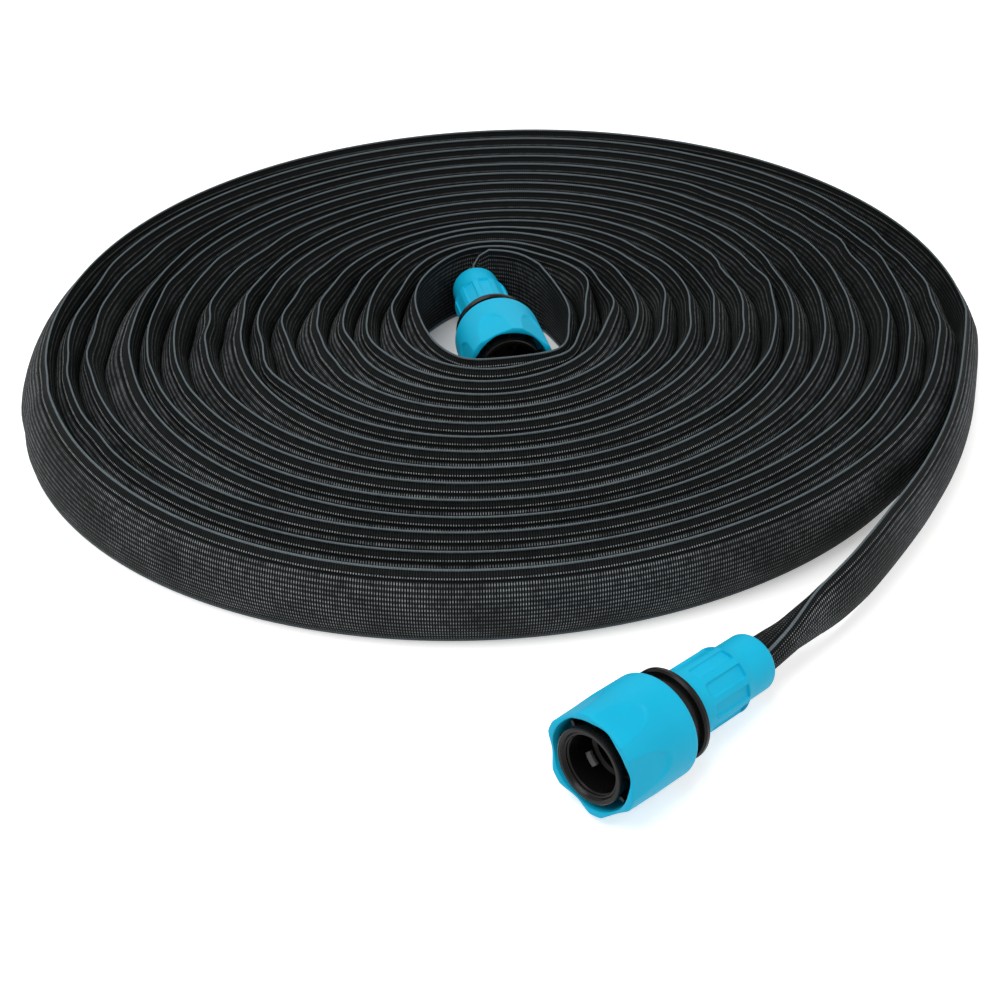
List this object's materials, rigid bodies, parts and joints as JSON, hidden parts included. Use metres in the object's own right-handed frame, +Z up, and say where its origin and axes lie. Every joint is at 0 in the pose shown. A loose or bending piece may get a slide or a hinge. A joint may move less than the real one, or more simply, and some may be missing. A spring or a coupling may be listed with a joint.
{
  "type": "soaker hose",
  "caption": "Flat fabric soaker hose coiled on its edge, with a quick connector on each end: sprung sleeve, locking claws and a screwed clamp nut",
  "frame": {"origin": "The middle of the coil, on the surface that the coil stands on.", "axes": "+Z up, square to the surface; +Y from the front connector toward the back of the coil; +X to the right. The coil winds outward clockwise, seen from above."},
  "size_m": [0.3535, 0.4066, 0.0378],
  "materials": {
    "fabric": "woven",
    "black_plastic": "satin",
    "grey_plastic": "satin",
    "blue_plastic": "satin",
    "seal_rubber": "matt",
    "spring_steel": "bright",
    "clear_plastic": "satin"
  },
  "bodies": {
    "hose": {"hose_coil": "fabric", "hose_lead": "fabric", "hose_tail": "fabric", "front_body": "black_plastic", "front_socket": "black_plastic", "front_seal": "seal_rubber", "front_flow_disc": "grey_plastic", "front_spring": "spring_steel", "front_hose_end": "fabric", "inner_body": "black_plastic", "inner_socket": "black_plastic", "inner_seal": "seal_rubber", "inner_flow_disc": "grey_plastic", "inner_spring": "spring_steel", "inner_hose_end": "fabric"},
    "front_sleeve": {"front_sleeve": "blue_plastic"},
    "front_collet": {"front_collet": "clear_plastic"},
    "front_nut": {"front_nut": "blue_plastic"},
    "front_claw_1": {"front_claw_1": "grey_plastic"},
    "front_claw_2": {"front_claw_2": "grey_plastic"},
    "front_claw_3": {"front_claw_3": "grey_plastic"},
    "front_claw_4": {"front_claw_4": "grey_plastic"},
    "inner_sleeve": {"inner_sleeve": "blue_plastic"},
    "inner_collet": {"inner_collet": "clear_plastic"},
    "inner_nut": {"inner_nut": "blue_plastic"},
    "inner_claw_1": {"inner_claw_1": "grey_plastic"},
    "inner_claw_2": {"inner_claw_2": "grey_plastic"},
    "inner_claw_3": {"inner_claw_3": "grey_plastic"},
    "inner_claw_4": {"inner_claw_4": "grey_plastic"}
  },
  "joints": [
    {"name": "front_sleeve_slide", "type": "slide", "parent": "hose", "child": "front_sleeve", "axis": [0.705, 0.7025, -0.0976], "range_m": [0, 0.0034], "stiffness_N_per_m": 250, "springref_m": -0.004, "deforming": ["front_spring"]},
    {"name": "front_claw_1_hinge", "type": "hinge", "parent": "hose", "child": "front_claw_1", "pos_m": [0.04344, -0.22617, 0.02494], "axis": [-0.4503, 0.5496, 0.7037], "range_deg": [0, 6]},
    {"name": "front_claw_2_hinge", "type": "hinge", "parent": "hose", "child": "front_claw_2", "pos_m": [0.03311, -0.2158, 0.02494], "axis": [-0.548, 0.4522, -0.7037], "range_deg": [0, 6]},
    {"name": "front_claw_3_hinge", "type": "hinge", "parent": "hose", "child": "front_claw_3", "pos_m": [0.0321, -0.21681, 0.01037], "axis": [0.4503, -0.5496, -0.7037], "range_deg": [0, 6]},
    {"name": "front_claw_4_hinge", "type": "hinge", "parent": "hose", "child": "front_claw_4", "pos_m": [0.04243, -0.22717, 0.01037], "axis": [0.548, -0.4522, 0.7037], "range_deg": [0, 6]},
    {"name": "front_collet_slide", "type": "slide", "parent": "hose", "child": "front_collet", "axis": [0.705, 0.7025, -0.0976], "range_m": [0, 0.0015]},
    {"name": "front_nut_turn", "type": "hinge", "parent": "front_collet", "child": "front_nut", "pos_m": [0.0788, -0.1806, 0.01197], "axis": [0.705, 0.7025, -0.0976], "range_deg": [0, 360]},
    {"name": "inner_sleeve_slide", "type": "slide", "parent": "hose", "child": "inner_sleeve", "axis": [-0.1952, 0.9767, -0.0889], "range_m": [0, 0.0034], "stiffness_N_per_m": 250, "springref_m": -0.004, "deforming": ["inner_spring"]},
    {"name": "inner_claw_1_hinge", "type": "hinge", "parent": "hose", "child": "inner_claw_1", "pos_m": [0.00507, -0.01444, 0.03056], "axis": [-0.9713, -0.1799, 0.1558], "range_deg": [0, 6]},
    {"name": "inner_claw_2_hinge", "type": "hinge", "parent": "hose", "child": "inner_claw_2", "pos_m": [-0.00639, -0.01751, 0.02199], "axis": [-0.1362, -0.1168, -0.9838], "range_deg": [0, 6]},
    {"name": "inner_claw_3_hinge", "type": "hinge", "parent": "hose", "child": "inner_claw_3", "pos_m": [0.00225, -0.01685, 0.01019], "axis": [0.9713, 0.1799, -0.1558], "range_deg": [0, 6]},
    {"name": "inner_claw_4_hinge", "type": "hinge", "parent": "hose", "child": "inner_claw_4", "pos_m": [0.01371, -0.01378, 0.01876], "axis": [0.1362, 0.1168, 0.9838], "range_deg": [0, 6]},
    {"name": "inner_collet_slide", "type": "slide", "parent": "hose", "child": "inner_collet", "axis": [-0.1952, 0.9767, -0.0889], "range_m": [0, 0.0015]},
    {"name": "inner_nut_turn", "type": "hinge", "parent": "inner_collet", "child": "inner_nut", "pos_m": [-0.0077, 0.0412, 0.0152], "axis": [-0.1952, 0.9767, -0.0889], "range_deg": [0, 360]}
  ],
  "couplings": [
    {"joint": "front_claw_1_hinge", "follows": "front_sleeve_slide", "rad_per_m": 30.769},
    {"joint": "front_claw_2_hinge", "follows": "front_sleeve_slide", "rad_per_m": 30.769},
    {"joint": "front_claw_3_hinge", "follows": "front_sleeve_slide", "rad_per_m": 30.769},
    {"joint": "front_claw_4_hinge", "follows": "front_sleeve_slide", "rad_per_m": 30.769},
    {"joint": "front_nut_turn", "follows": "front_collet_slide", "rad_per_m": 4188.4},
    {"joint": "inner_claw_1_hinge", "follows": "inner_sleeve_slide", "rad_per_m": 30.769},
    {"joint": "inner_claw_2_hinge", "follows": "inner_sleeve_slide", "rad_per_m": 30.769},
    {"joint": "inner_claw_3_hinge", "follows": "inner_sleeve_slide", "rad_per_m": 30.769},
    {"joint": "inner_claw_4_hinge", "follows": "inner_sleeve_slide", "rad_per_m": 30.769},
    {"joint": "inner_nut_turn", "follows": "inner_collet_slide", "rad_per_m": 4188.4}
  ]
}
